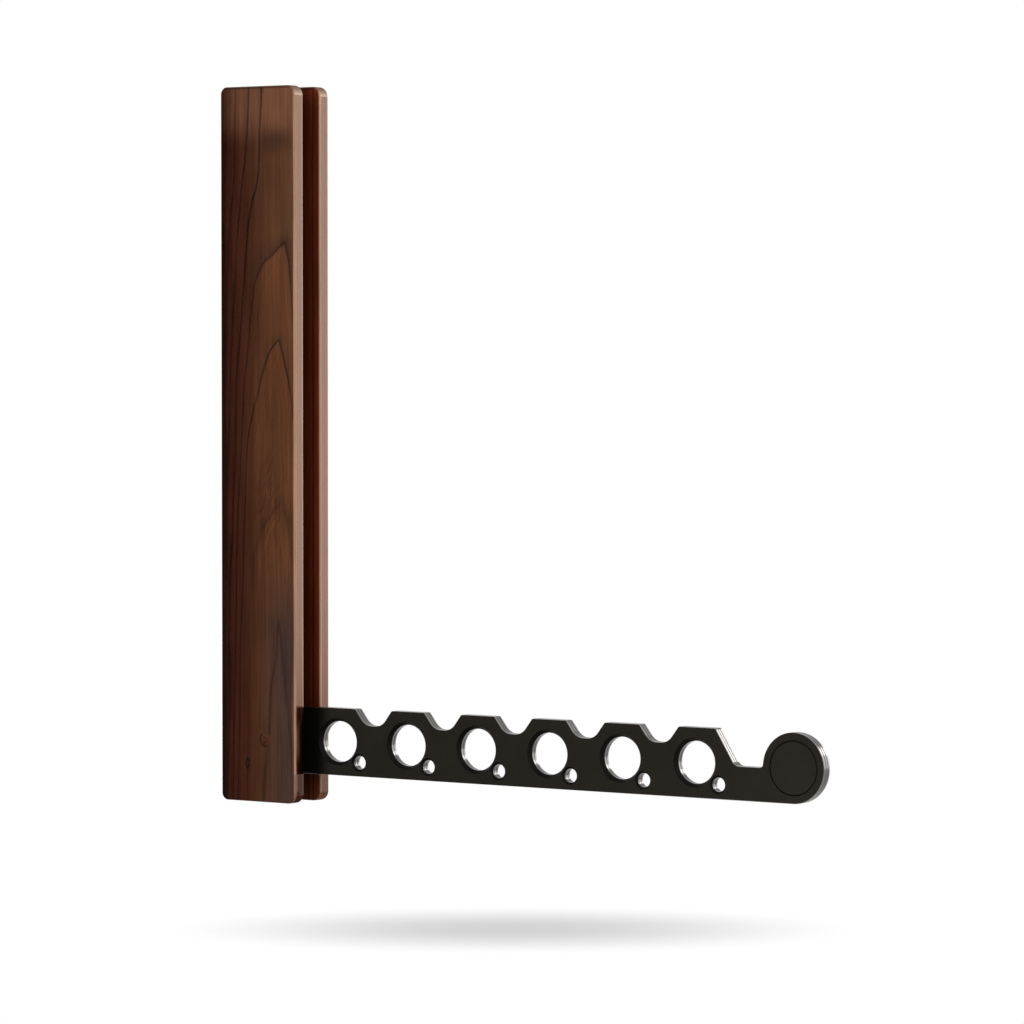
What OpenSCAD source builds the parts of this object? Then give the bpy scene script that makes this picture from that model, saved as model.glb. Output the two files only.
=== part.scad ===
// Wall mounted clothes valet: two walnut boards glued to a spine, with a black notched
// arm that folds up into the slot between them.
// Frame: the origin is on the wall, level with the arm's pivot. +Z is up, -Y points out
// from the wall, and X runs across the slot. Outlines are drawn in side view, as
// [distance out from the wall or the pivot, height], and then stood up by side_plate().

/* [Body] */
// Height of the wooden body
body_h = 400; // [380:5:460]
// Depth of the body, from the wall to its front edges
body_d = 52; // [48:1:70]
// Thickness of each side board
board_t = 8.25; // [8:0.25:14]
// Width of the slot between the two boards
slot_w = 15; // [14:0.5:20]
// Depth of the spine that closes the slot at the wall
spine_d = 11.5; // [11:0.25:11.75]
// Radius of the boards' front corners in side view
front_corner_r = 5.5; // [3:0.5:9]
// Radius of the boards' back corners in side view
back_corner_r = 4; // [2:0.5:8]
// Radius of the eased arrises of the boards
arris_r = 1; // [0.4:0.1:1.6]

/* [Pivot] */
// Height of the pivot's axis above the body's lower end
pivot_up = 35; // [30:1:45]
// Diameter of the pivot pin
pin_d = 6; // [5:0.5:7]
// Wall of the bushings' sleeves and of the arm's sleeve
sleeve_wall = 1.5; // [1:0.1:2]
// Width of the bushings' flanges round their sleeves
flange_rim = 3; // [1.5:0.25:4.5]
// Thickness of the thrust washers
washer_t = 0.9; // [0.5:0.1:1.5]
// Depth of the wooden plugs over the pin's ends
plug_t = 3; // [2:0.25:4]
// Diameter of the wooden plugs
plug_d = 8; // [6:0.25:10]

/* [Arm] */
// Height of the arm's bar
arm_h = 37.5; // [32:0.5:44]
// Thickness of the arm
arm_t = 6; // [5:0.5:8]
// Distance from the body's upper end down to the folded arm's tip
tip_below = 9.25; // [5:0.25:20]
// Distance from the pivot to the nearest hanger hole
hook_first = 41; // [36:1:50]
// Distance from one hanger hole to the next
hook_pitch = 47; // [42:0.5:60]
// Diameter of the hanger holes
hook_d = 22.8; // [16:0.2:24]
// Width of the dished rim round each hanger hole
hook_rim_w = 1.8; // [1:0.05:2.5]
// Depth of that rim
hook_rim_t = 2.3; // [1:0.1:3]
// Diameter of the small hole beside each hanger hole
eye_d = 7.6; // [5:0.2:8]
// Width of the dished rim round each small hole
eye_rim_w = 1.15; // [0.8:0.05:2]
// Depth of that rim
eye_rim_t = 1.3; // [0.5:0.1:2]
// Width of the metal between a hanger hole and its small hole
eye_gap = 3; // [2:0.1:4]
// Angle below the horizontal at which the small hole lies
eye_angle = 37.5; // [30:0.5:45]

/* [Notches] */
// Width of the notches at the arm's top edge
notch_w = 24.8; // [20:0.2:26]
// Width of the notches' floor
notch_floor_w = 10.9; // [9:0.1:13]
// Depth of the notches
notch_t = 9.05; // [6:0.05:10]
// Radius at the foot of the notches' slopes
notch_foot_r = 8.5; // [3:0.5:9]
// Radius of the notches' shoulders
notch_shoulder_r = 1.6; // [0.6:0.1:2]
// Distance by which each notch sits past the middle between two holes
notch_shift = 1; // [0:0.1:1.5]
// Depth of the wide notch before the tip
tail_t = 19.45; // [16:0.05:22]
// Distance from the last hanger hole to the wide notch's shoulder
tail_start = 13; // [12.5:0.1:15]
// Horizontal run of the wide notch's slope
tail_run = 12.25; // [10:0.25:14]
// Radius at the foot of the wide notch's slope
tail_foot_r = 5; // [2:0.5:6]
// Radius where the wide notch's floor meets the round tip
tail_tip_r = 2.2; // [1.5:0.1:3]
// Least length of the wide notch's floor
tail_room = 6; // [5:0.5:20]

/* [Tip] */
// Width of the tip's rim round its caps
cap_rim = 4.25; // [2.5:0.25:7]
// Thickness of the caps
cap_t = 1.2; // [0.8:0.1:1.5]
// Width of the seat round the magnet, under the caps
magnet_rim = 4.5; // [3:0.25:7]

/* [Stop] */
// Thickness of the steel stop plate
stop_t = 2; // [1.5:0.25:3]
// Height by which the stop plate stands out of the spine
stop_proud = 0.55; // [0.5:0.05:1]
// Length of the stop plate above the pivot's axis
stop_above = 13; // [10:0.5:16]
// Length of the stop plate below the arm's lower edge
stop_edge = 9.25; // [7:0.25:10]
// Distance from each end of the stop plate to its screw
stop_screw_edge = 5; // [4:0.25:6]

/* [Fixings] */
// Number of wall screws
wall_n = 3; // [2:1:3]
// Diameter of the wall screw holes
wall_hole_d = 5; // [4:0.1:6]
// Diameter of the screw cups
cup_d = 11; // [9:0.5:13]
// Height of the screw cups
cup_t = 3; // [2.5:0.1:4]
// Diameter of the dowels that join the boards to the spine
dowel_d = 5; // [4:0.5:6]
// Depth of the dowel holes in each board
dowel_sink = 5; // [4:0.25:6]
// Distance from the top of the body to the highest dowel
dowel_last = 13; // [10:0.5:14]
// Diameter of the keeper disc for the tip's magnet
keeper_d = 12; // [10:0.5:13]
// Thickness of the keeper disc
keeper_t = 2; // [1.5:0.25:2.5]
// Diameter of the rubber bumpers
bumper_d = 6; // [5:0.5:8]
// Depth of the rubber bumpers' pockets
bumper_sink = 3; // [2.5:0.25:4]
// Head diameter of the small countersunk screws
screw_head_d = 5.6; // [5:0.1:6]
// Shank diameter of the small countersunk screws
screw_d = 2.9; // [2.5:0.1:3.5]
// Depth of wood left behind the points of the small screws
screw_back = 2.5; // [1:0.5:4]

/* [Hidden] */

// Overrun of every cut past the face that it opens
overrun = 1;
// Clearance between pieces that are glued or pressed together
seat_gap = 0.05;
// Radial clearance between the pin and the arm's sleeve
run_gap = 0.04;
// Gap between the end of a bushing's sleeve and the plug over it
plug_gap = 0.25;
// Gap beside the arm, between its faces and the thrust washers
side_gap = 0.2;
// Gap left between the arm's root and the stop plate at rest
stop_gap = 0.2;
// Gap left between the bumpers and the folded arm
bumper_gap = 0.35;
// Radius of the arm's square lower corner at the root
root_corner_r = 1.5;
// Chamfer at the pin's ends
pin_chamfer = 0.5;
// Depth of the shallow dish at the middle of each cap
cap_dish_t = 0.15;
// Width of the level ring at the edge of each cap
cap_ring_w = 1.5;
// Narrowest part of the screws' points
screw_point_d = 0.6;
// Length of the screws' points
screw_point_l = 2.5;
// Radius of the bumpers' rounded edge
bumper_edge_r = 1;
// Wall of the screw cups at their rim
cup_rim_w = 0.6;
// Width of the stop plate's corner radii
stop_corner_r = 2;
// Thickness of the slices that the rounded boards are stretched over
slice_t = 0.01;
// Number of steps on a rounded corner of an outline, and on an eased arris
corner_steps = 8;
arris_steps = 3;
$fn = 72;

body_foot = -pivot_up;
body_head = body_h - pivot_up;
slot_half = slot_w / 2;
arm_half = arm_t / 2;

// The arm's root and its tip are as round as the arm is high, so that it folds clear of the stop
root_len = arm_h / 2;
tip_r = arm_h / 2;
pivot_out = spine_d + stop_proud + stop_gap + root_len;
tip_reach = body_head - tip_below - tip_r;

// As many hanger holes as leave room for the wide notch before the tip
hook_room = tip_reach - tip_r - tail_room - tail_run - tail_start - hook_first;
hook_n = floor(hook_room / hook_pitch) + 1;
hook_last = hook_first + (hook_n - 1) * hook_pitch;
tail_floor = arm_h / 2 - tail_t;
eye_offset = hook_d / 2 + eye_gap + eye_d / 2;
cap_d = 2 * (tip_r - cap_rim);
magnet_d = cap_d - 2 * magnet_rim;

sleeve_d = pin_d + 2 * sleeve_wall;
flange_d = sleeve_d + 2 * flange_rim;
flange_t = slot_half - arm_half - side_gap - washer_t;
sleeve_sink = board_t - plug_t - plug_gap;
pin_l = 2 * (slot_half + sleeve_sink - seat_gap);

stop_below = arm_h / 2 + stop_edge;
stop_screw_heights = [stop_screw_edge - stop_below, stop_above - stop_screw_edge];
screw_head_t = (screw_head_d - screw_d) / 2;
screw_l = spine_d - screw_back;
bumper_proud = stop_proud + stop_gap - bumper_gap;
dowel_out = (spine_d - cup_t) / 2;

walnut = "#5a3522";
walnut_plug = "#6b4129";
arm_black = "#2a2824";
cap_black = "#34322e";
steel = "#a8a8a6";
bronze = "#a9854f";
nylon = "#e6e2d6";
rubber = "#3c3a38";
beech = "#c9a26e";

// Unit vector along v
function unit(v) = v / norm(v);

// Points of one corner [x, y, radius] of an outline, rounded between its neighbours
function corner_points(before, corner, after) =
    let (p = [corner.x, corner.y],
         a = unit([before.x, before.y] - p),
         b = unit([after.x, after.y] - p),
         r = corner[2],
         half = acos(max(-1, min(1, a * b))) / 2,
         centre = p + unit(a + b) * r / sin(half),
         start = p + a * r / tan(half) - centre,
         end = p + b * r / tan(half) - centre,
         from = atan2(start.y, start.x),
         turn = atan2(start.x * end.y - start.y * end.x, start * end))
    [for (i = [0 : corner_steps])
        centre + r * [cos(from + turn * i / corner_steps), sin(from + turn * i / corner_steps)]];

// Points of a closed outline given by its corners [x, y, radius]
function rounded(corners) =
    let (n = len(corners))
    [for (i = [0 : n - 1])
        each (corners[i][2] > 0
            ? corner_points(corners[(i + n - 1) % n], corners[i], corners[(i + 1) % n])
            : [[corners[i].x, corners[i].y]])];

// Distance from the pivot to hanger hole number i, and to the notch after it
function hook_at(i) = hook_first + i * hook_pitch;
function notch_at(i) = hook_at(i) + hook_pitch / 2 + notch_shift;

// Corners of one notch, taken from the tip's side to the root's side
function notch_corners(i) =
    [[notch_at(i) + notch_w / 2, arm_h / 2, notch_shoulder_r],
     [notch_at(i) + notch_floor_w / 2, arm_h / 2 - notch_t, notch_foot_r],
     [notch_at(i) - notch_floor_w / 2, arm_h / 2 - notch_t, notch_foot_r],
     [notch_at(i) - notch_w / 2, arm_h / 2, notch_shoulder_r]];

// The wall screws lie opposite the notches, so that their heads stay clear of the folded arm.
// The bumpers and the middle dowels lie between them, opposite the hanger holes.
wall_heights = [for (i = [0 : wall_n - 1]) notch_at(round(i * (hook_n - 2) / (wall_n - 1)))];
bumper_heights = [hook_at(1), hook_at(hook_n - 1)];
dowel_heights = [(stop_above - stop_below) / 2, hook_at(2), hook_at(hook_n - 2), body_head - dowel_last];

// Stands a side view up: its x points out from the wall and its y points up
module side_plate(thickness, at = 0) {
    translate([at, 0, 0])
        rotate([90, 0, -90])
            linear_extrude(height = thickness, center = true)
                children();
}

// Moves what is drawn about the pivot to the pivot's place
module at_pivot() {
    translate([0, -pivot_out, 0])
        children();
}

// Draws its children along the pivot's axis, from distance x towards one side
module towards(side, x) {
    at_pivot()
        rotate([0, 90 * side, 0])
            translate([0, 0, x])
                children();
}

// A round bar along X, from x1 to x2
module cross_bar(d, x1, x2) {
    translate([x1, 0, 0])
        rotate([0, 90, 0])
            cylinder(d = d, h = x2 - x1);
}

// A profile [radius, height] turned about an axis that points out from the wall
module turned_out(profile) {
    rotate([90, 0, 0])
        rotate_extrude()
            polygon(profile);
}

// Side view of a board, drawn in by inset, and by back_inset at the wall
module board_section(inset, back_inset) {
    front_r = front_corner_r - inset;
    back_r = back_corner_r - inset;
    polygon(rounded([[back_inset, body_foot + inset, back_r],
                     [body_d - inset, body_foot + inset, front_r],
                     [body_d - inset, body_head - inset, front_r],
                     [back_inset, body_head - inset, back_r]]));
}

// One board with eased arrises; side is -1 for the left board and 1 for the right one
module board(side) {
    hull() {
        for (i = [0 : arris_steps]) {
            turn = 90 * i / arris_steps;
            inset = arris_r * (1 - sin(turn));
            sink = arris_r * (1 - cos(turn));
            side_plate(slice_t, side * (slot_half + sink + slice_t / 2))
                board_section(inset, 0);
            side_plate(slice_t, side * (slot_half + board_t - sink - slice_t / 2))
                board_section(inset, inset);
        }
    }
}

// One side board: bored for its bushing, its plug and the dowels
module cheek(side) {
    color(walnut)
        difference() {
            board(side);
            towards(side, slot_half - overrun)
                cylinder(d = sleeve_d + 2 * seat_gap, h = board_t - plug_t - seat_gap + overrun);
            towards(side, slot_half + board_t - plug_t - seat_gap)
                cylinder(d = plug_d + 2 * seat_gap, h = plug_t + seat_gap + overrun);
            for (z = dowel_heights)
                translate([0, -dowel_out, z])
                    cross_bar(dowel_d + 2 * seat_gap, -slot_half - dowel_sink, slot_half + dowel_sink);
        }
}

// The spine between the boards: the slot's floor, with every fixing let into it
module spine() {
    color(walnut)
        difference() {
            side_plate(slot_w)
                polygon(rounded([[0, body_foot, back_corner_r],
                                 [spine_d, body_foot, 0],
                                 [spine_d, body_head, 0],
                                 [0, body_head, back_corner_r]]));
            for (z = wall_heights)
                translate([0, 0, z]) {
                    translate([0, overrun, 0])
                        rotate([90, 0, 0])
                            cylinder(d = wall_hole_d, h = spine_d + 2 * overrun);
                    sunk_hole(cup_d + 2 * seat_gap, cup_t + seat_gap);
                }
            for (z = dowel_heights)
                translate([0, -dowel_out, z])
                    cross_bar(dowel_d + 2 * seat_gap, -slot_half - overrun, slot_half + overrun);
            translate([-slot_half - overrun, -spine_d - overrun, -stop_below - seat_gap])
                cube([slot_w + 2 * overrun, stop_t - stop_proud + overrun,
                      stop_below + stop_above + 2 * seat_gap]);
            for (z = stop_screw_heights)
                translate([0, 0, z])
                    sunk_hole(screw_d + 2 * seat_gap, screw_l - stop_proud + seat_gap);
            translate([0, 0, tip_reach]) {
                sunk_hole(keeper_d + 2 * seat_gap, keeper_t);
                sunk_hole(screw_d + 2 * seat_gap, screw_l + seat_gap);
            }
            for (z = bumper_heights)
                translate([0, 0, z])
                    sunk_hole(bumper_d + 2 * seat_gap, bumper_sink);
        }
}

// A blind hole in the slot's floor
module sunk_hole(d, depth) {
    translate([0, -spine_d + depth, 0])
        rotate([90, 0, 0])
            cylinder(d = d, h = depth + overrun);
}

// Dowels across the spine, with both ends in the boards
module cheek_dowels() {
    color(beech)
        for (z = dowel_heights)
            translate([0, -dowel_out, z])
                cross_bar(dowel_d, seat_gap - slot_half - dowel_sink, slot_half + dowel_sink - seat_gap);
}

// Cups that take the heads of the wall screws below the slot's floor
module wall_screw_cups() {
    color(steel)
        for (z = wall_heights)
            translate([0, cup_t - spine_d, z])
                turned_out([[wall_hole_d / 2, 0], [cup_d / 2, 0], [cup_d / 2, cup_t],
                            [cup_d / 2 - cup_rim_w, cup_t]]);
}

// Bushing: a sleeve pressed into the board and a thick flange that fills the slot beside the arm
module bushing(side) {
    color(bronze)
        towards(side, arm_half + side_gap + washer_t)
            difference() {
                union() {
                    cylinder(d = flange_d, h = flange_t);
                    cylinder(d = sleeve_d, h = flange_t + sleeve_sink);
                }
                translate([0, 0, -overrun])
                    cylinder(d = pin_d + 2 * seat_gap, h = flange_t + sleeve_sink + 2 * overrun);
            }
}

// Thrust washer between the arm and a bushing's flange
module thrust_washer(side) {
    color(nylon)
        towards(side, arm_half + side_gap)
            difference() {
                cylinder(d = flange_d, h = washer_t);
                translate([0, 0, -overrun])
                    cylinder(d = pin_d + 2 * seat_gap, h = washer_t + 2 * overrun);
            }
}

// Pivot pin, chamfered at both ends
module pivot_pin() {
    r = pin_d / 2;
    color(steel)
        at_pivot()
            translate([-pin_l / 2, 0, 0])
                rotate([0, 90, 0])
                    rotate_extrude()
                        polygon([[0, 0], [r - pin_chamfer, 0], [r, pin_chamfer], [r, pin_l - pin_chamfer],
                                 [r - pin_chamfer, pin_l], [0, pin_l]]);
}

// Wooden plug, flush with the outside of its board
module plug(side) {
    color(walnut_plug)
        towards(side, slot_half + board_t - plug_t)
            cylinder(d = plug_d, h = plug_t);
}

// Steel plate that the arm's root bears on
module stop_plate() {
    half_w = slot_half - seat_gap;
    color(steel)
        difference() {
            translate([0, stop_t - stop_proud - spine_d, 0])
                rotate([90, 0, 0])
                    linear_extrude(height = stop_t)
                        polygon(rounded([[-half_w, -stop_below, stop_corner_r],
                                         [half_w, -stop_below, stop_corner_r],
                                         [half_w, stop_above, stop_corner_r],
                                         [-half_w, stop_above, stop_corner_r]]));
            for (z = stop_screw_heights)
                translate([0, stop_t - stop_proud - spine_d, z])
                    countersink(stop_t);
        }
}

// Hole for a small countersunk screw through a plate whose back is at y = 0
module countersink(plate_t) {
    r = screw_d / 2 + seat_gap;
    head_r = screw_head_d / 2 + seat_gap;
    turned_out([[0, -overrun], [r, -overrun], [r, plate_t - head_r + r], [head_r, plate_t],
                [head_r, plate_t + overrun], [0, plate_t + overrun]]);
}

// Small countersunk screw whose head is level with y = -front
module small_screw(front) {
    r = screw_d / 2;
    translate([0, screw_l - front, 0])
        turned_out([[0, 0], [screw_point_d / 2, 0], [r, screw_point_l], [r, screw_l - screw_head_t],
                    [screw_head_d / 2, screw_l], [0, screw_l]]);
}

module stop_screws() {
    color(steel)
        for (z = stop_screw_heights)
            translate([0, 0, z])
                small_screw(spine_d + stop_proud);
}

// Keeper disc that the tip's magnet holds on to when the arm is folded
module keeper_plate() {
    color(steel)
        translate([0, keeper_t - spine_d, tip_reach])
            difference() {
                turned_out([[0, 0], [keeper_d / 2, 0], [keeper_d / 2, keeper_t], [0, keeper_t]]);
                countersink(keeper_t);
            }
}

module keeper_screw() {
    color(steel)
        translate([0, 0, tip_reach])
            small_screw(spine_d);
}

// Rubber bumpers that the folded arm's flats come to rest on
module fold_bumpers() {
    r = bumper_d / 2;
    l = bumper_sink + bumper_proud;
    color(rubber)
        for (z = bumper_heights)
            translate([0, bumper_sink - spine_d, z])
                turned_out([[0, 0], [r, 0],
                            each [for (a = [0 : 90 / arris_steps : 90])
                                [r - bumper_edge_r * (1 - cos(a)), l - bumper_edge_r * (1 - sin(a))]],
                            [0, l]]);
}

// Side view of the arm about its pivot, without its holes
module arm_outline() {
    union() {
        polygon(rounded([[-root_len, 0, 0],
                         [-root_len, -arm_h / 2, root_corner_r],
                         [tip_reach, -arm_h / 2, 0],
                         [tip_reach, tail_floor, 0],
                         [hook_last + tail_start + tail_run, tail_floor, tail_foot_r],
                         [hook_last + tail_start, arm_h / 2, notch_shoulder_r],
                         each [for (i = [hook_n - 2 : -1 : 0]) each notch_corners(i)],
                         [0, arm_h / 2, 0],
                         [0, 0, 0]]));
        circle(r = root_len);
        translate([tip_reach, 0])
            circle(r = tip_r);
        tip_fillet();
    }
}

// Fillet between the wide notch's floor and the round tip
module tip_fillet() {
    rise = tail_floor + tail_tip_r;
    out = sqrt(pow(tip_r + tail_tip_r, 2) - pow(rise, 2));
    centre = [tip_reach - out, rise];
    touch = [tip_reach, 0] + (centre - [tip_reach, 0]) * tip_r / (tip_r + tail_tip_r);
    difference() {
        polygon([[centre.x, tail_floor], [tip_reach, tail_floor], touch]);
        translate(centre)
            circle(r = tail_tip_r);
    }
}

// A hole through the arm with a dished rim on its left face
module rimmed_hole(d, rim_w, rim_t) {
    r = d / 2;
    rim_r = r + rim_w;
    rotate([0, -90, 0])
        rotate_extrude()
            polygon([[0, -arm_half - overrun], [r, -arm_half - overrun], [r, arm_half - rim_t],
                     [rim_r, arm_half], [rim_r, arm_half + overrun], [0, arm_half + overrun]]);
}

// The arm: a flat bar with notches above, hanger holes along it and a round tip
module arm() {
    color(arm_black)
        at_pivot()
            difference() {
                side_plate(arm_t)
                    arm_outline();
                cross_bar(sleeve_d + 2 * seat_gap, -arm_half - overrun, arm_half + overrun);
                for (i = [0 : hook_n - 1])
                    translate([0, -hook_at(i), 0]) {
                        rimmed_hole(hook_d, hook_rim_w, hook_rim_t);
                        translate([0, -eye_offset * cos(eye_angle), -eye_offset * sin(eye_angle)])
                            rimmed_hole(eye_d, eye_rim_w, eye_rim_t);
                    }
                translate([0, -tip_reach, 0]) {
                    cross_bar(cap_d + 2 * seat_gap, -arm_half - overrun, cap_t - arm_half);
                    cross_bar(cap_d + 2 * seat_gap, arm_half - cap_t, arm_half + overrun);
                    cross_bar(magnet_d + 2 * seat_gap, -arm_half, arm_half);
                }
            }
}

// Bronze sleeve pressed into the arm, which turns on the pin
module arm_sleeve() {
    color(bronze)
        at_pivot()
            difference() {
                cross_bar(sleeve_d, -arm_half, arm_half);
                cross_bar(pin_d + 2 * run_gap, -arm_half - overrun, arm_half + overrun);
            }
}

// Round cap let into one face of the tip, very slightly dished
module tip_cap(side) {
    r = cap_d / 2;
    color(cap_black)
        translate([0, -tip_reach, 0])
            towards(side, arm_half - cap_t)
                rotate_extrude()
                    polygon([[0, 0], [r, 0], [r, cap_t], [r - cap_ring_w, cap_t],
                             [r - 2 * cap_ring_w, cap_t - cap_dish_t], [0, cap_t - cap_dish_t]]);
}

// Magnet between the two caps
module tip_magnet() {
    color(steel)
        translate([0, -pivot_out - tip_reach, 0])
            cross_bar(magnet_d, cap_t + seat_gap - arm_half, arm_half - cap_t - seat_gap);
}

module left_cheek() { cheek(-1); }
module right_cheek() { cheek(1); }
module left_bushing() { bushing(-1); }
module right_bushing() { bushing(1); }
module left_washer() { thrust_washer(-1); }
module right_washer() { thrust_washer(1); }
module left_plug() { plug(-1); }
module right_plug() { plug(1); }
module left_tip_cap() { tip_cap(-1); }
module right_tip_cap() { tip_cap(1); }

left_cheek();
right_cheek();
spine();
cheek_dowels();
wall_screw_cups();
left_bushing();
right_bushing();
left_washer();
right_washer();
pivot_pin();
left_plug();
right_plug();
stop_plate();
stop_screws();
keeper_plate();
keeper_screw();
fold_bumpers();
arm();
arm_sleeve();
left_tip_cap();
right_tip_cap();
tip_magnet();
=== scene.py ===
# %% [markdown]
# # A folding clothes valet
# Two walnut boards hang on the wall with a slot between them. A flat black arm with hanger
# holes swings down out of the slot, and folds back into it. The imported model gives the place
# and size of every piece, and the joint that the arm turns on. This lesson dresses it: smooth
# surfaces for the pieces that show, and a finish for each piece.

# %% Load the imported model
import math

import bpy
import numpy as np
from mathutils import Matrix, Vector
from mathutils.geometry import delaunay_2d_cdt


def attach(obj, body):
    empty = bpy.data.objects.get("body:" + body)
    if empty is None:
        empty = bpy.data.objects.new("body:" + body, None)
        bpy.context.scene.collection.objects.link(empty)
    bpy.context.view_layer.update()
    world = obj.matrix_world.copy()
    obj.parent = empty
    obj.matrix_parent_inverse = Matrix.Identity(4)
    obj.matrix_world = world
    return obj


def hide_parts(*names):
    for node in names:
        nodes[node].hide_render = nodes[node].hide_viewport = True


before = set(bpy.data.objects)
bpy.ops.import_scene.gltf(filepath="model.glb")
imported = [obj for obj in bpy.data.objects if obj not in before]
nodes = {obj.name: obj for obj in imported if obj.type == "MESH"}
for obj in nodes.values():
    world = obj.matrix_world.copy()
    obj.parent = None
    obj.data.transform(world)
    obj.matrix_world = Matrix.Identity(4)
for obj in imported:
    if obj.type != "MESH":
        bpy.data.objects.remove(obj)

scene = bpy.context.scene
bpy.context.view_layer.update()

# %% [markdown]
# ## Sizes
# All sizes are in millimetres, as on a drawing. A side view has two numbers for each point:
# how far it stands out from the wall (or from the pivot, on the arm), and how high it is above
# the pivot. One factor turns them into Blender's metres at the very end.

# %% Sizes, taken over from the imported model
MM = 0.001
body_foot, body_head, body_depth = -35.0, 365.0, 52.0
slot_half, board_out = 7.5, 15.75
front_round, back_round, arris = 5.5, 4.0, 1.0
pivot_out = 31.0
plug_r, plug_depth, sleeve_r = 4.0, 3.0, 4.5
arm_half, half_height, tip_reach = 3.0, 18.75, 337.0
hook_first, hook_step, hook_count = 41.0, 47.0, 6
hook_places = hook_first + hook_step * np.arange(hook_count)
hook_r, hook_rim, hook_rim_depth = 11.4, 1.8, 2.3
eye_r, eye_rim, eye_rim_depth = 3.8, 1.15, 1.3
eye_away, eye_angle = 18.2, math.radians(37.5)
eye_out, eye_down = eye_away * math.cos(eye_angle), eye_away * math.sin(eye_angle)
cap_r, cap_depth, magnet_r = 14.5, 1.2, 10.0
seat = 0.05
print("hanger holes at", (hook_places + pivot_out).tolist(), "mm from the wall")

# %% [markdown]
# ## Paths in side view
# Each outline is a closed path: rows of a place and the direction that faces away from the
# material there. Knowing that direction exactly is what makes the shading exact later, so
# it is worked out with each arc, and not guessed from neighbouring points. The material lies
# on the left of the path, so a hole runs the other way round.


# %% Arcs, rounded corners and circles
def arc(centre, radius, start, turn, steps, side=1):
    """Points centre + radius (cos a, sin a), for a from start over turn, in radians.
    The outward direction is (cos a, sin a), or its opposite on a hollow curve (side = -1)."""
    angle = start + turn * np.linspace(0, 1, steps + 1)
    ray = np.stack([np.cos(angle), np.sin(angle)], axis=1)
    return np.hstack([np.asarray(centre) + radius * ray, side * ray])


def corner(before, at, after, radius, steps=10):
    """The arc that rounds one corner: it touches both legs, at radius / tan(half the angle)
    from the corner. It bulges outwards where the path turns left."""
    before, at, after = (np.asarray(p[:2], float) for p in (before, at, after))
    leg_in = (before - at) / np.linalg.norm(before - at)
    leg_out = (after - at) / np.linalg.norm(after - at)
    half = math.acos(np.clip(leg_in @ leg_out, -1, 1)) / 2
    centre = at + (leg_in + leg_out) / np.linalg.norm(leg_in + leg_out) * radius / math.sin(half)
    first = at + leg_in * radius / math.tan(half) - centre
    last = at + leg_out * radius / math.tan(half) - centre
    turn = math.atan2(first[0] * last[1] - first[1] * last[0], first @ last)
    return arc(centre, radius, math.atan2(first[1], first[0]), turn, steps, math.copysign(1, turn))


def rounded(corners):
    """A closed path through corners given as (out, up, radius), each one rounded."""
    count = len(corners)
    return np.vstack([corner(corners[i - 1], corners[i], corners[(i + 1) % count], corners[i][2])
                      for i in range(count)])


def hole(centre, radius, steps=72):
    """A circle that runs clockwise, whose outward direction is towards its own centre."""
    return arc(centre, radius, 0, -2 * math.pi, steps, side=-1)[:-1]


def disc_edge(centre, radius, steps=72):
    """A circle round a solid disc."""
    return arc(centre, radius, 0, 2 * math.pi, steps)[:-1]


# %% [markdown]
# ## Carrying a profile along a path
# A routed board, a bevelled bar and a drilled hole are all made in the same way: a cutter's
# profile follows a path. A profile is rows of four numbers: how far it is drawn in from the
# path, its place across the valet, and the two parts of the direction it faces. The surface is
# a grid, with the path one way and the profile the other. Flat faces close the grid where it
# ends, as triangles between the outer path and the holes.


# %% Profiles
def quarter(x, radius, steps, left):
    """A quarter round at one face of a bar: drawn in by radius (1 - sin a), and its place goes
    over radius (1 - cos a), while it turns from facing sideways to facing out."""
    a = np.linspace(0, math.pi / 2, steps + 1)
    rows = np.stack([radius * (1 - np.sin(a)), x + radius * (1 - np.cos(a)),
                     np.sin(a), -np.cos(a)], axis=1)
    if left:
        return rows
    rows = rows[::-1].copy()
    rows[:, 1] = 2 * x - rows[:, 1]
    rows[:, 3] *= -1
    return rows


groove_half, groove_depth, groove_lean = 0.18, 0.12, 0.7


def bar_edge(x0, x1, radius, steps=5, grooves=()):
    """The edge of a flat bar between x0 and x1: a quarter round, a flat with fine grooves,
    and a quarter round."""
    rows = [quarter(x0, radius, steps, left=True)]
    for x in grooves:
        rows.append(np.array([[0, x - groove_half, 1, 0],
                              [groove_depth / 2, x - groove_half / 2, groove_lean, groove_lean],
                              [groove_depth, x, 1, 0],
                              [groove_depth / 2, x + groove_half / 2, groove_lean, -groove_lean],
                              [0, x + groove_half, 1, 0]]))
    rows.append(quarter(x1, radius, steps, left=False))
    return np.vstack(rows)


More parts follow.
